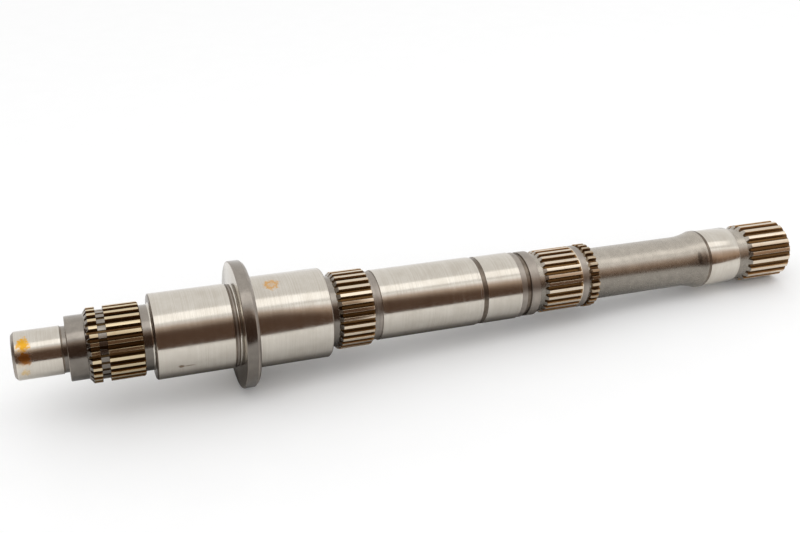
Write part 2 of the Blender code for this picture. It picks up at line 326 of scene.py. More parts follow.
def buildShaftBands():
    bands = []
    margin, gap = surface["splineMargin"], surface["bandGap"]

    def addTurned(outline):
        bands.append(turnedBand(breakEdges(outline, surface["edgeBreak"])))

    def addSpline(outline, spline):
        bands.append(toothedBand(breakEdges(outline, surface["toothEdgeBreak"]), spline))

    # a turned stretch ends on the neck before the next row of teeth, which starts where the neck ends
    def addNeck(outline, radius, length, faceFinish="turned"):
        teethStart = outline[-1][0] + length
        cutTo(outline, outline[-1][0], radius, faceFinish)
        cutTo(outline, teethStart - margin - gap, radius, "dull")
        addTurned(outline)
        return teethStart

    # pilot and collar
    outline = centreHoleOutline(0.0, 1)
    cutCylinder(outline, pilot["diameter"], pilot["length"], "ground", pilot["chamfer"])
    # The first part of the pilot's groove carries painted shade
    cutCylinder(outline, pilot["grooveDiameter"], pilot["grooveShade"], "shadedRecess")
    cutCylinder(outline, pilot["grooveDiameter"], pilot["grooveLength"] - pilot["grooveShade"], "dull")
    cutCylinder(outline, pilot["collarDiameter"], pilot["collarLength"], "dull", pilot["collarChamfer"])
    start, collar = outline[-1][0], pilot["collarDiameter"] / 2
    outline[-1] = (start - margin - gap, collar, "dull")
    addTurned(outline)

    # front spline, whose teeth the ring's groove crosses
    neckRadius, fillet = frontSpline["neckDiameter"] / 2, frontSpline["neckFillet"]
    outline, end = splineOutline(start, frontSpline, collar, neckRadius, frontSpline["entry"])
    addSpline(outline, frontSpline)

    # front journal, flange and rear journal
    outline = [(end + margin + gap, neckRadius, "dull")]
    cutTo(outline, end + frontSpline["neckLength"] - fillet, neckRadius, "dull")
    cutArc(outline, (end + frontSpline["neckLength"] - fillet, neckRadius + fillet), fillet, -90, 0,
           surface["filletSteps"], "ground")
    # The journal's chamfers and the groove before the flange carry painted shade
    cutCylinder(outline, frontJournal["diameter"], frontJournal["length"], "ground", frontJournal["chamfer"],
                faceFinish="shadedRecess")
    grooveStart = outline[-1][0]
    cutCylinder(outline, frontJournal["grooveDiameter"], frontJournal["ridgeStart"], "shadedRecess")
    cutCylinder(outline, frontJournal["ridgeDiameter"], frontJournal["ridgeWidth"], "turned",
                faceFinish="shadedRecess")
    face, fillet = grooveStart + frontJournal["grooveLength"], frontJournal["fillet"]
    cutTo(outline, outline[-1][0], frontJournal["grooveDiameter"] / 2, "shadedRecess")
    cutTo(outline, face - fillet, frontJournal["grooveDiameter"] / 2, "shadedRecess")
    cutArc(outline, (face - fillet, frontJournal["grooveDiameter"] / 2 + fillet), fillet, -90, 0,
           surface["filletSteps"], "ground")
    cutTo(outline, face, flange["diameter"] / 2 - flange["frontChamfer"], "ground")
    cutCylinder(outline, flange["diameter"], flange["width"], "dull", flange["frontChamfer"],
                flange["rearChamfer"])
    # The rear journal's first stretch behind the flange carries painted shade
    cutCylinder(outline, rearJournal["diameter"], rearJournal["darkStart"], "shadedRecess")
    cutCylinder(outline, rearJournal["diameter"], rearJournal["length"] - rearJournal["darkStart"], "ground",
                rearChamfer=rearJournal["chamfer"])
    neckRadius = rearJournal["neckDiameter"] / 2
    start = addNeck(outline, neckRadius, rearJournal["neckLength"])

    # middle spline
    land = bearings["land"][0] / 2
    rise = middleSpline["crest"] / 2 - neckRadius
    outline, end = splineOutline(start, middleSpline, neckRadius, land, rise)
    addSpline(outline, middleSpline)

    # bearing journals
    outline = [(end + margin + gap, land, "dull")]
    cutTo(outline, end + bearings["land"][1], land, bearings["land"][2])
    for diameter, length, finish in list(bearings.values())[1:]:
        cutCylinder(outline, diameter, length, finish)
    undercut = rearSpline["undercut"] / 2
    start = addNeck(outline, undercut, rearSpline["undercutLength"])

    # rear spline, which runs out into the plain band behind it
    crest = rearSpline["crest"] / 2
    end = start + rearSpline["length"]
    outline = entryCone(start, undercut, crest, crest - undercut)
    for share in np.linspace(1.0, 0.0, surface["entrySteps"] + 1):
        cutTo(outline, end - rearSpline["depth"] * share, crest, "tooth")
    cutTo(outline, end + margin, crest, "tooth")
    bands.append(toothedBand(outline, rearSpline, end))
    outline = [(end + margin + gap, crest, "turned")]
    cutTo(outline, end + rearSpline["bandLength"], crest, "turned")
    undercut = toothedRing["undercut"] / 2
    start = addNeck(outline, undercut, toothedRing["undercutLength"], "dull")

    # toothed ring
    chamfer = toothedRing["chamfer"]
    neckRadius, fillet = neck["diameter"] / 2, neck["fillet"]
    below, neckStart = neckRadius + fillet, start + toothedRing["width"]
    outline = [(start - margin, undercut, "dull"), (start, undercut, "dull")]
    cutCylinder(outline, toothedRing["crest"], toothedRing["width"], "tooth", chamfer, chamfer, "tooth")
    cutTo(outline, neckStart, below + gap, "dull")
    bands.append(toothedBand(outline, toothedRing))

    # long neck, flare, shoulder and bearing seat
    outline = [(neckStart, below, "dull")]
    cutArc(outline, (neckStart + fillet, below), fillet, 180, 270, surface["filletSteps"], "dull")
    cutTo(outline, neckStart + neck["length"], neckRadius, "dull")
    rise = neck["shoulderDiameter"] / 2 - neckRadius
    arc = (neck["flareLength"] ** 2 + rise ** 2) / (2 * rise)
    sweep = math.degrees(math.asin(neck["flareLength"] / arc))
    cutArc(outline, (neckStart + neck["length"], neckRadius + arc), arc, -90, sweep - 90,
           surface["flareSteps"], "dull")
    # The shoulder's last stretch and the seat's shallow relief carry painted shade, a dark line at the step
    cutCylinder(outline, neck["shoulderDiameter"], neck["shoulderLength"] - neck["darkRim"], "dull")
    cutCylinder(outline, neck["shoulderDiameter"], neck["darkRim"], "shadedRecess")
    cutCylinder(outline, seat["diameter"] - 2 * seat["relief"], seat["reliefLength"], "shadedRecess")
    cutCylinder(outline, seat["diameter"], seat["length"] - seat["reliefLength"], "ground",
                rearChamfer=seat["chamfer"])
    undercut = seat["undercut"] / 2
    start = addNeck(outline, undercut, seat["undercutLength"])

    # tail spline and its end face
    crest, chamfer = tailSpline["crest"] / 2, tailSpline["endChamfer"]
    end = start + tailSpline["length"]
    faceRadius = crest - tailSpline["depth"] - tailSpline["faceStep"]
    outline = entryCone(start, undercut, crest, crest - undercut)
    cutTo(outline, end - chamfer, crest, "tooth")
    cutTo(outline, end, crest - chamfer, "tooth")
    cutTo(outline, end, faceRadius, "turned")
    bands.append(toothedBand(outline, tailSpline))
    outline = [(end, faceRadius - gap, "turned")] + centreHoleOutline(end, -1)
    bands.append(turnedBand(outline))
    return bands


points, heights, faces, faceFinish = joinBands(buildShaftBands())
shaftMesh = makeMesh("mainShaftSurface", points, heights, faces, faceFinish)
addLengthUv(shaftMesh)
shaftMesh.shade_smooth()
shaftMesh.set_sharp_from_angle(angle=math.radians(surface["sharpAngle"]))
mainShaft = bpy.data.objects.new("mainShaftSurface", shaftMesh)
bpy.context.collection.objects.link(mainShaft)
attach(mainShaft, "root")
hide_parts("main_shaft")
print("shaft surface made:", len(shaftMesh.vertices), "points,", len(shaftMesh.polygons), "faces")


# Node helpers: a socket is set to a value, or linked to another node's socket
def fillSockets(tree, node, sockets):
    for key, value in sockets.items():
        if isinstance(value, bpy.types.NodeSocket):
            tree.links.new(value, node.inputs[key])
        else:
            node.inputs[key].default_value = value
    return node


def addNode(tree, kind, sockets=None, **settings):
    node = tree.nodes.new(kind)
    for name, value in settings.items():
        setattr(node, name, value)
    return fillSockets(tree, node, sockets or {})


def calculate(tree, operation, first, second=0.0, third=0.0):
    node = addNode(tree, "ShaderNodeMath", {0: first, 1: second, 2: third}, operation=operation)
    return node.outputs[0]


def addUp(tree, first, second):
    return calculate(tree, "ADD", first, second)


def multiply(tree, first, second):
    return calculate(tree, "MULTIPLY", first, second)


def blendColour(tree, factor, first, second, mode="MIX"):
    node = addNode(tree, "ShaderNodeMix", {"Factor": factor, 6: first, 7: second}, data_type="RGBA",
                   blend_type=mode)
    return node.outputs[2]


def spread(tree, value, fromLow, fromHigh, toLow, toHigh):
    node = addNode(tree, "ShaderNodeMapRange", {"Value": value, "From Min": fromLow, "From Max": fromHigh,
                                                "To Min": toLow, "To Max": toHigh})
    return node.outputs["Result"]


# A noise stays mostly between 0.3 and 0.7, and that range is spread over two values
def vary(tree, noise, low, high):
    return spread(tree, noise, 0.3, 0.7, low, high)


def addNoise(tree, vector, seed, scale, detail, roughness):
    node = addNode(tree, "ShaderNodeTexNoise", {"Vector": vector, "W": seed, "Scale": scale, "Detail": detail,
                                                "Roughness": roughness}, noise_dimensions="4D")
    return node.outputs["Fac"]


# Stops are pairs of a place from 0 to 1 and a colour
def addColourRamp(tree, value, stops):
    node = addNode(tree, "ShaderNodeValToRGB", {"Fac": value})
    elements = node.color_ramp.elements
    while len(elements) < len(stops):
        elements.new(0.5)
    for element, (place, colour) in zip(elements, stops):
        element.position = place
        element.color = colour
    return node.outputs["Color"]


def newGroup(name, inputs, outputs):
    group = bpy.data.node_groups.new(name, "ShaderNodeTree")
    for socketName, default in inputs:
        socket = group.interface.new_socket(socketName, in_out="INPUT", socket_type="NodeSocketFloat")
        socket.default_value = default
    for socketName in outputs:
        group.interface.new_socket(socketName, in_out="OUTPUT", socket_type="NodeSocketFloat")
    return group, group.nodes.new("NodeGroupInput"), group.nodes.new("NodeGroupOutput")


def useGroup(tree, group, **values):
    node = tree.nodes.new("ShaderNodeGroup")
    node.node_tree = group
    return fillSockets(tree, node, values)


# Place on the shaft in millimetres: along it, behind and above its axis, and around it in degrees
def makePlaceGroup():
    group, _, out = newGroup("placeOnShaft", [], ["along", "back", "up", "around", "radius"])
    where = addNode(group, "ShaderNodeTexCoord").outputs["Object"]
    turnedBack = addNode(group, "ShaderNodeMapping", {
        "Vector": where, "Location": shaftLine["pilotCentre"], "Rotation": (0.0, shaftLine["tilt"], 0.0),
        "Scale": (millimetre, millimetre, millimetre)}, vector_type="TEXTURE")
    along, back, up = addNode(group, "ShaderNodeSeparateXYZ", {"Vector": turnedBack.outputs[0]}).outputs
    front = multiply(group, back, -1.0)
    around = calculate(group, "DEGREES", calculate(group, "ARCTAN2", front, up))
    squares = addUp(group, multiply(group, back, back), multiply(group, up, up))
    fillSockets(group, out, dict(along=along, back=back, up=up, around=around,
                                 radius=calculate(group, "SQRT", squares)))
    return group


placeOnShaft = makePlaceGroup()


# Lines left by the wheel or the turning tool: noise that changes quickly along the shaft, hardly around it.
# lines counts them per millimetre; the coarse ones are fewer.
def makeLineGroup():
    inputs = [("lines", 3.0), ("wander", 0.03), ("seed", 0.0)]
    group, entry, out = newGroup("toolLines", inputs, ["fine", "coarse"])
    place = useGroup(group, placeOnShaft)
    for name, share, detail in (("fine", 1.0, 2.0), ("coarse", 0.22, 3.0)):
        vector = addNode(group, "ShaderNodeCombineXYZ", {
            0: multiply(group, multiply(group, place.outputs["along"], share), entry.outputs["lines"]),
            1: multiply(group, place.outputs["back"], entry.outputs["wander"]),
            2: multiply(group, place.outputs["up"], entry.outputs["wander"])})
        noise = addNoise(group, vector.outputs[0], entry.outputs["seed"], 1.0, detail, 0.6)
        fillSockets(group, out, {name: noise})
    return group


toolLines = makeLineGroup()


# Soft clouds in the oil film and in the steel's tone, their size in millimetres, and small specks
def makeCloudGroup():
    group, entry, out = newGroup("oilClouds", [("size", 6.0), ("seed", 0.0)], ["cloud", "speck"])
    place = useGroup(group, placeOnShaft)
    vector = addNode(group, "ShaderNodeCombineXYZ", {0: place.outputs["along"], 1: place.outputs["back"],
                                                     2: place.outputs["up"]})
    cloudScale = calculate(group, "DIVIDE", 1.0, entry.outputs["size"])
    for name, scale, detail, roughness in (("cloud", cloudScale, 3.0, 0.55), ("speck", 1.6, 2.0, 0.7)):
        noise = addNoise(group, vector.outputs[0], entry.outputs["seed"], scale, detail, roughness)
        fillSockets(group, out, {name: noise})
    return group


oilClouds = makeCloudGroup()


# A spot at a place on the shaft; sizes in millimetres, the place around in degrees. Its distance is 0 in
# the middle and 1 at the edge, which clouds of this size make ragged.
spotEdge = dict(size=1.7, seed=3.7, reach=4.0)


def makeSpotGroup():
    inputs = [("along", 0.0), ("around", 0.0), ("halfLength", 2.0), ("halfWidth", 2.0), ("ragged", 0.3),
              ("soft", 0.4)]
    group, entry, out = newGroup("surfaceSpot", inputs, ["mask", "distance"])
    place = useGroup(group, placeOnShaft)
    ahead = calculate(group, "SUBTRACT", place.outputs["along"], entry.outputs["along"])
    ahead = calculate(group, "DIVIDE", ahead, entry.outputs["halfLength"])
    turn = calculate(group, "SUBTRACT", place.outputs["around"], entry.outputs["around"])
    turn = calculate(group, "WRAP", turn, 180.0, -180.0)
    side = multiply(group, calculate(group, "RADIANS", turn), place.outputs["radius"])
    side = calculate(group, "DIVIDE", side, entry.outputs["halfWidth"])
    squares = addUp(group, multiply(group, ahead, ahead), multiply(group, side, side))
    cloud = useGroup(group, oilClouds, size=spotEdge["size"], seed=spotEdge["seed"])
    ragged = multiply(group, calculate(group, "SUBTRACT", cloud.outputs["cloud"], 0.5),
                      multiply(group, entry.outputs["ragged"], spotEdge["reach"]))
    distance = addUp(group, calculate(group, "SQRT", squares), ragged)
    inner = calculate(group, "SUBTRACT", 1.0, entry.outputs["soft"])
    mask = addNode(group, "ShaderNodeMapRange", {
        "Value": distance, "From Min": inner, "From Max": 1.0, "To Min": 1.0, "To Max": 0.0},
        interpolation_type="SMOOTHSTEP")
    fillSockets(group, out, dict(mask=mask.outputs["Result"], distance=distance))
    return group


surfaceSpot = makeSpotGroup()


def newMaterial(name):
    material = bpy.data.materials.new(name)
    material.use_nodes = True
    tree = material.node_tree
    return material, tree, tree.nodes["Principled BSDF"]


# The tool lines and the clouds of a finish, with its own values
def addPatterns(tree, finish):
    return useGroup(tree, toolLines, **finish["lines"]), useGroup(tree, oilClouds, **finish["clouds"])


# The mean of two patterns turns the finish's colour into its dark one
def addTone(tree, finish, first, second):
    tone = addUp(tree, multiply(tree, first, 0.5), multiply(tree, second, 0.5))
    dark = spread(tree, tone, finish["toneFrom"], finish["toneTo"], 1.0, 0.0)
    return blendColour(tree, dark, finish["colour"], finish["dark"])


# The shader's sockets that every finish has; the bump's depth is in millimetres
def applyFinish(tree, shader, finish, colour, roughness, relief, metallic=1.0):
    bump = addNode(tree, "ShaderNodeBump", {"Height": relief, "Strength": finish["bump"],
                                            "Distance": finish["bumpDepth"] * millimetre})
    fillSockets(tree, shader, {"Base Color": colour, "Roughness": roughness, "Metallic": metallic,
                               "Normal": bump.outputs["Normal"]})


# The stains that the photographed shaft has, as
# (along, around, half length, half width, ragged, soft, hollow, tint, amount)
stains = dict(
    pilotHalo=(5.2, 58.0, 5.0, 9.5, 0.3, 0.6, 0.0, (0.62, 0.43, 0.22, 1.0), 0.35),
    pilotRust=(5.8, 32.5, 4.0, 5.8, 0.45, 0.6, 0.0, (0.74, 0.38, 0.015, 1.0), 0.95),
    # A darker brown copy of the pilot's stain on the side that mirrors the dark room: a real stain with
    # painted shade over it
    pilotRustInShade=(6.0, 66.0, 4.3, 4.0, 0.3, 0.5, 0.0, (0.38, 0.125, 0.004, 1.0), 0.92),
    pilotFaint=(5.6, 102.0, 2.6, 3.2, 0.6, 0.8, 0.0, (0.60, 0.40, 0.14, 1.0), 0.65),
    journalRust=(135.8, 9.5, 5.2, 4.8, 0.35, 0.5, 0.6, (0.64, 0.31, 0.04, 1.0), 0.85),
)
# A hollow stain fades from its rim to its middle between these distances
stainLook = dict(hollowFrom=0.15, hollowTo=0.6, roughness=0.42)


def addStains(tree, colour, roughness):
    for along, around, halfLength, halfWidth, ragged, soft, hollow, tint, amount in stains.values():
        spot = useGroup(tree, surfaceSpot, along=along, around=around, halfLength=halfLength,
                        halfWidth=halfWidth, ragged=ragged, soft=soft)
        filled = spread(tree, spot.outputs["distance"], stainLook["hollowFrom"], stainLook["hollowTo"],
                        amount * (1.0 - hollow), amount)
        mask = multiply(tree, spot.outputs["mask"], filled)
        colour = blendColour(tree, mask, colour, tint)
        rough = addNode(tree, "ShaderNodeMix", {"Factor": mask, 2: roughness, 3: stainLook["roughness"]})
        roughness = rough.outputs[0]
    return colour, roughness


# The nick in the front journal and the scratch that runs on from it
nick = dict(pit=dict(along=83.1, around=106.3, halfLength=2.0, halfWidth=1.3, ragged=0.4, soft=0.5),
            scratch=dict(along=86.8, around=107.0, halfLength=4.4, halfWidth=0.65, ragged=0.08, soft=0.7),
            scratchAmount=0.75, tint=(0.17, 0.11, 0.065, 1.0), tintAmount=0.85, depth=3.0)


# Ground journals and seats, whose fine lines stretch the highlights around the shaft
groundSteel = dict(colour=(0.63, 0.59, 0.525, 1.0), dark=(0.53, 0.485, 0.42, 1.0), toneFrom=0.38, toneTo=0.62,
                   roughness=0.17, smoother=-0.03, rougher=0.05, anisotropy=0.45, anisotropyTurn=0.25,
                   lines=dict(lines=2.6, wander=0.02, seed=1.0), clouds=dict(size=9.0, seed=5.0),
                   bump=0.22, bumpDepth=0.01)


def makeGroundSteel():
    material, tree, shader = newMaterial("groundSteel")
    lines, cloud = addPatterns(tree, groundSteel)
    colour = addTone(tree, groundSteel, lines.outputs["fine"], cloud.outputs["cloud"])
    uneven = vary(tree, lines.outputs["coarse"], groundSteel["smoother"], groundSteel["rougher"])
    colour, roughness = addStains(tree, colour, addUp(tree, groundSteel["roughness"], uneven))
    pit = useGroup(tree, surfaceSpot, **nick["pit"]).outputs["mask"]
    scratch = useGroup(tree, surfaceSpot, **nick["scratch"]).outputs["mask"]
    damage = calculate(tree, "MAXIMUM", pit, multiply(tree, scratch, nick["scratchAmount"]))
    colour = blendColour(tree, multiply(tree, damage, nick["tintAmount"]), colour, nick["tint"])
    relief = calculate(tree, "SUBTRACT", lines.outputs["fine"], multiply(tree, damage, nick["depth"]))
    applyFinish(tree, shader, groundSteel, colour, roughness, relief)
    tangent = addNode(tree, "ShaderNodeTangent", direction_type="UV_MAP", uv_map="aroundAndAlong")
    fillSockets(tree, shader, {"Anisotropic": groundSteel["anisotropy"], "Tangent": tangent.outputs[0],
                               "Anisotropic Rotation": groundSteel["anisotropyTurn"]})
    return material


# Turned faces and steps, rougher and darker
turnedSteel = dict(colour=(0.40, 0.355, 0.31, 1.0), dark=(0.27, 0.24, 0.21, 1.0), toneFrom=0.35, toneTo=0.65,
                   smoothest=0.30, roughest=0.42, lines=dict(lines=1.5, wander=0.03, seed=2.0),
                   clouds=dict(size=5.0, seed=8.0), bump=0.5, bumpDepth=0.02)


def makeTurnedSteel():
    material, tree, shader = newMaterial("turnedSteel")
    lines, cloud = addPatterns(tree, turnedSteel)
    colour = addTone(tree, turnedSteel, lines.outputs["coarse"], cloud.outputs["cloud"])
    roughness = vary(tree, lines.outputs["fine"], turnedSteel["smoothest"], turnedSteel["roughest"])
    applyFinish(tree, shader, turnedSteel, colour, roughness, lines.outputs["fine"])
    return material


# The front of the shaft is darker and smoother than the neck near the tail. Painted shade darkens the sides
# and the underside: it begins at its first angle, in degrees off the top, and is full at its second.
dullSteel = dict(front=(0.335, 0.30, 0.262, 1.0), tail=(0.48, 0.435, 0.375, 1.0), frontEnd=150.0,
                 tailStart=320.0, specks=0.45, toneFrom=0.35, toneTo=0.65, shade=0.76, undersideShadeFrom=42.0,
                 undersideShadeTo=78.0, undersideShade=0.64, gap=(0.085, 0.05, 0.02, 1.0), gapTo=0.6, frontRoughness=0.18,
                 tailRoughness=0.27, smoother=-0.04, rougher=0.06,
                 lines=dict(lines=1.1, wander=0.05, seed=4.0), clouds=dict(size=4.0, seed=11.0),
                 lineBump=0.6, bump=0.26, bumpDepth=0.02)
# A painted dark reflection on the flare, before the shoulder, where the bend of the surface mirrors the dark
# room
flareDarkReflection = dict(spot=dict(along=410.4, around=58.0, halfLength=1.9, halfWidth=5.4, ragged=0.12, soft=0.55),
                 shade=0.5)


def makeDullSteel():
    material, tree, shader = newMaterial("dullSteel")
    lines, cloud = addPatterns(tree, dullSteel)
    grain = cloud.outputs["speck"]
    tone = addUp(tree, multiply(tree, grain, dullSteel["specks"]),
                 multiply(tree, cloud.outputs["cloud"], 1.0 - dullSteel["specks"]))
    shade = spread(tree, tone, dullSteel["toneFrom"], dullSteel["toneTo"], dullSteel["shade"], 1.0)
    place = useGroup(tree, placeOnShaft)
    # Painted shade on the sides and underside, darker the further round from the top
    offTop = calculate(tree, "ABSOLUTE", place.outputs["around"])
    undersideShading = spread(tree, offTop, dullSteel["undersideShadeFrom"], dullSteel["undersideShadeTo"], 1.0, dullSteel["undersideShade"])
    # Painted dark reflection on the flare, multiplied into the colour
    paintedReflection = useGroup(tree, surfaceSpot, **flareDarkReflection["spot"]).outputs["mask"]
    paintedReflection = spread(tree, paintedReflection, 0.0, 1.0, 1.0, flareDarkReflection["shade"])
    shade = multiply(tree, multiply(tree, shade, undersideShading), paintedReflection)
    shade = addNode(tree, "ShaderNodeCombineColor", {0: shade, 1: shade, 2: shade}).outputs[0]
    side = spread(tree, place.outputs["along"], dullSteel["frontEnd"], dullSteel["tailStart"], 0.0, 1.0)
    colour = blendColour(tree, side, dullSteel["front"], dullSteel["tail"])
    height = addNode(tree, "ShaderNodeAttribute", attribute_name="toothHeight").outputs["Fac"]
    inGap = spread(tree, height, 0.0, dullSteel["gapTo"], 1.0, 0.0)
    colour = blendColour(tree, 1.0, blendColour(tree, inGap, colour, dullSteel["gap"]), shade, "MULTIPLY")
    roughness = spread(tree, side, 0.0, 1.0, dullSteel["frontRoughness"], dullSteel["tailRoughness"])
    roughness = addUp(tree, roughness, vary(tree, grain, dullSteel["smoother"], dullSteel["rougher"]))
    relief = addUp(tree, multiply(tree, lines.outputs["fine"], dullSteel["lineBump"]), grain)
    applyFinish(tree, shader, dullSteel, colour, roughness, relief)
    return material


# Crests are worn bright, flanks and gaps keep a brown film, which is darker toward the front.
# The ring beside the long neck is bronze-brown all over. What ends in From or To below is a height on the
# tooth, apart from the ring's, which are places along the shaft.
toothSteel = dict(stops=((0.0, (0.20, 0.098, 0.024, 1.0)), (0.35, (0.10, 0.045, 0.011, 1.0)),
                         (0.75, (0.37, 0.19, 0.060, 1.0)), (0.93, (0.45, 0.27, 0.105, 1.0)),
                         (0.985, (0.66, 0.57, 0.42, 1.0))),
                  wear=0.03, crestFrom=0.88, crestTo=0.97,
                  frontFilm=(0.42, 0.36, 0.26, 1.0), frontCrest=(0.96, 0.91, 0.81, 1.0), frontEnd=65.0,
                  tailFilm=(0.72, 0.72, 0.75, 1.0), tailCrest=(1.0, 0.99, 1.06, 1.0), tailStart=200.0,
                  ringTint=(0.68, 0.64, 0.58, 1.0), ringFrom=330.0, ringTo=338.0,
                  roughness=0.15, gapRoughness=0.36, smoothFrom=0.85, smoothTo=0.97, smoother=-0.02,
                  rougher=0.05, gapMetallic=0.75, metallicFrom=0.5, metallicTo=0.95,
                  clouds=dict(size=3.5, seed=14.0), bump=0.10, bumpDepth=0.02)


def makeToothSteel():
    material, tree, shader = newMaterial("toothSteel")
    height = addNode(tree, "ShaderNodeAttribute", attribute_name="toothHeight").outputs["Fac"]
    cloud = useGroup(tree, oilClouds, **toothSteel["clouds"])
    along = useGroup(tree, placeOnShaft).outputs["along"]
    worn = addUp(tree, height, vary(tree, cloud.outputs["cloud"], -toothSteel["wear"], toothSteel["wear"]))
    colour = addColourRamp(tree, worn, toothSteel["stops"])
    side = spread(tree, along, toothSteel["frontEnd"], toothSteel["tailStart"], 0.0, 1.0)
    film = blendColour(tree, side, toothSteel["frontFilm"], toothSteel["tailFilm"])
    crest = blendColour(tree, side, toothSteel["frontCrest"], toothSteel["tailCrest"])
    onCrest = spread(tree, worn, toothSteel["crestFrom"], toothSteel["crestTo"], 0.0, 1.0)
    tint = blendColour(tree, onCrest, film, crest)
    onRing = multiply(tree, calculate(tree, "GREATER_THAN", along, toothSteel["ringFrom"]),
                      calculate(tree, "LESS_THAN", along, toothSteel["ringTo"]))
    tint = blendColour(tree, onRing, tint, blendColour(tree, 1.0, tint, toothSteel["ringTint"], "MULTIPLY"))
    colour = blendColour(tree, 1.0, colour, tint, "MULTIPLY")
    roughness = spread(tree, worn, toothSteel["smoothFrom"], toothSteel["smoothTo"],
                       toothSteel["gapRoughness"], toothSteel["roughness"])
    speck = cloud.outputs["speck"]
    roughness = addUp(tree, roughness, vary(tree, speck, toothSteel["smoother"], toothSteel["rougher"]))
    metallic = spread(tree, worn, toothSteel["metallicFrom"], toothSteel["metallicTo"],
                      toothSteel["gapMetallic"], 1.0)
    applyFinish(tree, shader, toothSteel, colour, roughness, speck, metallic)
    return material


# Painted shade: the narrow grooves and steps, and thin lines beside the shoulder and behind the flange, are
# coloured dark
shadedRecessSteel = dict(colour=(0.23, 0.19, 0.152, 1.0), dark=(0.13, 0.105, 0.082, 1.0), toneFrom=0.38,
                   toneTo=0.62, roughness=0.3, lines=dict(lines=2.0, wander=0.05, seed=6.0),
                   clouds=dict(size=3.0, seed=17.0), bump=0.4, bumpDepth=0.02)


def makeShadedRecessSteel():
    material, tree, shader = newMaterial("shadedRecessSteel")
    lines, cloud = addPatterns(tree, shadedRecessSteel)
    colour = addTone(tree, shadedRecessSteel, lines.outputs["coarse"], cloud.outputs["cloud"])
    applyFinish(tree, shader, shadedRecessSteel, colour, shadedRecessSteel["roughness"], lines.outputs["fine"])
    return material


for makeFinish in (makeGroundSteel, makeTurnedSteel, makeDullSteel, makeToothSteel, makeShadedRecessSteel):
    shaftMesh.materials.append(makeFinish())
print("finishes made:", ", ".join(material.name for material in shaftMesh.materials))


def addStagePiece(name, corners, faces):
    mesh = bpy.data.meshes.new(name)
    mesh.from_pydata(corners, [], faces)
    piece = bpy.data.objects.new(name, mesh)
    bpy.context.collection.objects.link(piece)
    return piece


def addFlatPiece(name, left, right, near, far, height):
    corners = [(left, near, height), (right, near, height), (right, far, height), (left, far, height)]
    return addStagePiece(name, corners, [(0, 1, 2, 3)])


# A pale table top with a faint grain; this and the stage pieces below are in metres
tableTop = dict(width=9.0, depth=9.0, colour=(0.955, 0.955, 0.955, 1.0), grain=(0.945, 0.945, 0.945, 1.0),
                grainScale=40.0, grainDetail=3.0, roughness=0.6)


def makeFloor():
    width, depth = tableTop["width"] / 2, tableTop["depth"] / 2
    floor = addFlatPiece("tableTop", -width, width, -depth, depth, 0.0)
    material, tree, shader = newMaterial("paleTable")
    where = addNode(tree, "ShaderNodeTexCoord").outputs["Object"]
    noise = addNode(tree, "ShaderNodeTexNoise", {"Vector": where, "Scale": tableTop["grainScale"],
                                                 "Detail": tableTop["grainDetail"]})
    colour = blendColour(tree, vary(tree, noise.outputs["Fac"], 0.0, 1.0), tableTop["grain"],
                         tableTop["colour"])
    fillSockets(tree, shader, {"Base Color": colour, "Roughness": tableTop["roughness"],
                               "Specular IOR Level": 0.0})
    floor.data.materials.append(material)


makeFloor()


# Only the steel's reflections show this piece. Its material reads its own place and has no surface yet.
def makeReflected(piece, materialName):
    piece.visible_camera = False
    piece.visible_diffuse = False
    piece.visible_shadow = False
    material, tree, shader = newMaterial(materialName)
    tree.nodes.remove(shader)
    piece.data.materials.append(material)
    where = addNode(tree, "ShaderNodeTexCoord").outputs["Object"]
    return tree, addNode(tree, "ShaderNodeSeparateXYZ", {"Vector": where}).outputs


# The dim side of the room behind the camera, a glowing piece which only the steel's reflections show; it
# paints the dark band and the grey above it as reflections in the steel. It brightens upward to white; toward
# the tail it starts to brighten lower down, and ends brighter, which paints a wider highlight there. A side
# wing stands beyond the pilot's end.
roomScreen = dict(distance=0.46, height=0.84, left=-0.85, right=3.0, behind=0.35, turnFrom=0.12, turnTo=0.50,
                  darkTo=0.33, darkToTail=-0.12, whiteFrom=0.83, whiteFromTail=0.62,
                  colours=((0.0, (0.112, 0.067, 0.046, 1.0)), (0.15, (0.145, 0.095, 0.068, 1.0)),
                           (0.5, (0.50, 0.40, 0.33, 1.0)), (0.75, (0.83, 0.75, 0.70, 1.0)),
                           (1.0, (1.0, 1.0, 1.0, 1.0))),
                  tailColours=((0.0, (0.12, 0.07, 0.045, 1.0)), (0.31, (0.29, 0.19, 0.13, 1.0)),
                               (0.45, (0.52, 0.37, 0.27, 1.0)), (0.62, (0.66, 0.52, 0.43, 1.0)),
                               (0.84, (0.90, 0.81, 0.76, 1.0)), (1.0, (1.0, 1.0, 1.0, 1.0))),
                  boostFrom=0.45, boostTo=0.72, boost=1.4)


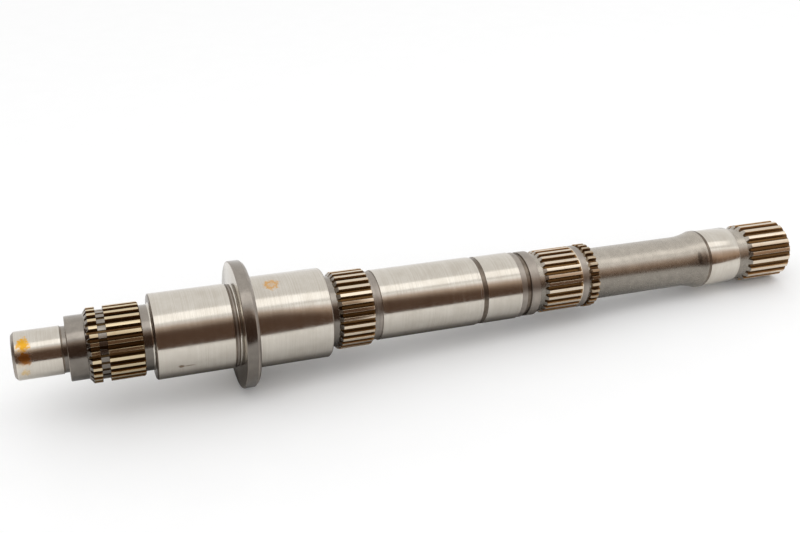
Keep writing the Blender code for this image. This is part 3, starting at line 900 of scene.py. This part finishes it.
def makeRoomScreen():
    left, right, top = roomScreen["left"], roomScreen["right"], roomScreen["height"]
    near, behind = -roomScreen["distance"], roomScreen["behind"]
    foot = [(right, near), (left, near), (left, behind)]
    corners = [(x, y, z) for z in (0.0, top) for x, y in foot]
    screen = addStagePiece("roomScreen", corners, [(0, 1, 4, 3), (1, 2, 5, 4)])
    tree, place = makeReflected(screen, "dimRoom")
    side = spread(tree, place[0], roomScreen["turnFrom"], roomScreen["turnTo"], 0.0, 1.0)
    darkTo = spread(tree, side, 0.0, 1.0, roomScreen["darkTo"], roomScreen["darkToTail"])
    whiteFrom = spread(tree, side, 0.0, 1.0, roomScreen["whiteFrom"], roomScreen["whiteFromTail"])
    height = spread(tree, place[2], darkTo, whiteFrom, 0.0, 1.0)
    colour = blendColour(tree, side, addColourRamp(tree, height, roomScreen["colours"]),
                         addColourRamp(tree, height, roomScreen["tailColours"]))
    boost = spread(tree, place[2], roomScreen["boostFrom"], roomScreen["boostTo"], 0.0,
                   roomScreen["boost"] - 1.0)
    strength = addUp(tree, multiply(tree, side, boost), 1.0)
    glow = addNode(tree, "ShaderNodeEmission", {"Color": colour, "Strength": strength})
    tree.links.new(glow.outputs[0], tree.nodes["Material Output"].inputs["Surface"])


makeRoomScreen()


# The deep shade under the shaft, which only the steel's reflections show. Stops are pairs of the
# distance from the axis and how much of the table it hides there.
shadeStrip = dict(halfWidth=0.17, lift=0.0004, startFrom=-0.262, startTo=-0.190, endFrom=0.07, endTo=0.18,
                  tint=(0.030, 0.024, 0.019, 1.0),
                  stops=((0.004, 0.85), (0.010, 0.82), (0.017, 0.65), (0.023, 0.38), (0.031, 0.27),
                         (0.041, 0.24), (0.053, 0.17), (0.073, 0.12), (0.10, 0.08), (0.135, 0.06),
                         (0.17, 0.0)))


def makeShadeStrip():
    start, end, halfWidth = shadeStrip["startFrom"], shadeStrip["endTo"], shadeStrip["halfWidth"]
    strip = addFlatPiece("shadeStrip", start, end, -halfWidth, halfWidth, shadeStrip["lift"])
    tree, place = makeReflected(strip, "deepShade")
    aside = calculate(tree, "DIVIDE", calculate(tree, "ABSOLUTE", place[1]), halfWidth)
    hidden = addColourRamp(tree, aside, [(distance / halfWidth, (amount, amount, amount, 1.0))
                                         for distance, amount in shadeStrip["stops"]])
    begins = spread(tree, place[0], start, shadeStrip["startTo"], 0.0, 1.0)
    ends = spread(tree, place[0], shadeStrip["endFrom"], end, 1.0, 0.0)
    amount = multiply(tree, hidden, multiply(tree, begins, ends))
    clear = addNode(tree, "ShaderNodeBsdfTransparent")
    shade = addNode(tree, "ShaderNodeEmission", {"Color": shadeStrip["tint"], "Strength": 1.0})
    mixed = addNode(tree, "ShaderNodeMixShader", {0: amount, 1: clear.outputs[0], 2: shade.outputs[0]})
    tree.links.new(mixed.outputs[0], tree.nodes["Material Output"].inputs["Surface"])


makeShadeStrip()


# One long softbox over the table, a little in front of the shaft; its turn is in degrees, its power in watts
softbox = dict(width=2.4, depth=0.42, height=1.05, forward=0.235, sideways=0.25, turn=4.0, power=2.0)


def makeSoftbox():
    light = bpy.data.lights.new("softbox", "AREA")
    light.shape = "RECTANGLE"
    light.size, light.size_y = softbox["width"], softbox["depth"]
    light.energy = softbox["power"]
    lamp = bpy.data.objects.new("softbox", light)
    lamp.location = (softbox["sideways"], -softbox["forward"], softbox["height"])
    lamp.rotation_euler = (0.0, 0.0, math.radians(softbox["turn"]))
    bpy.context.collection.objects.link(lamp)


makeSoftbox()


surroundings = dict(colour=(1.0, 1.0, 1.0, 1.0), strength=1.0)


def makeSurroundings():
    world = bpy.data.worlds.new("studio")
    bpy.context.scene.world = world
    world.use_nodes = True
    fillSockets(world.node_tree, world.node_tree.nodes["Background"],
                {"Color": surroundings["colour"], "Strength": surroundings["strength"]})


makeSurroundings()


# Camera at the photograph's viewing angle; its place counts from the pilot's end
viewpoint = dict(azimuth=19.76, elevation=29.62, right=0.0447, back=-0.4696, up=0.2965, lens=44.9,
                 sensorWidth=36.0, nearest=0.01)


def makeCamera():
    camera = bpy.data.cameras.new("camera")
    camera.lens = viewpoint["lens"]
    camera.sensor_width = viewpoint["sensorWidth"]
    camera.clip_start = viewpoint["nearest"]
    holder = bpy.data.objects.new("camera", camera)
    holder.rotation_euler = (math.radians(90.0 - viewpoint["elevation"]), 0.0,
                             -math.radians(viewpoint["azimuth"]))
    fromPilot = np.array((viewpoint["right"], viewpoint["back"], viewpoint["up"]))
    holder.location = shaftLine["pilotCentre"] + fromPilot
    bpy.context.collection.objects.link(holder)
    bpy.context.scene.camera = holder


makeCamera()
bpy.context.scene.view_settings.view_transform = "Standard"
print("table, light and camera set")
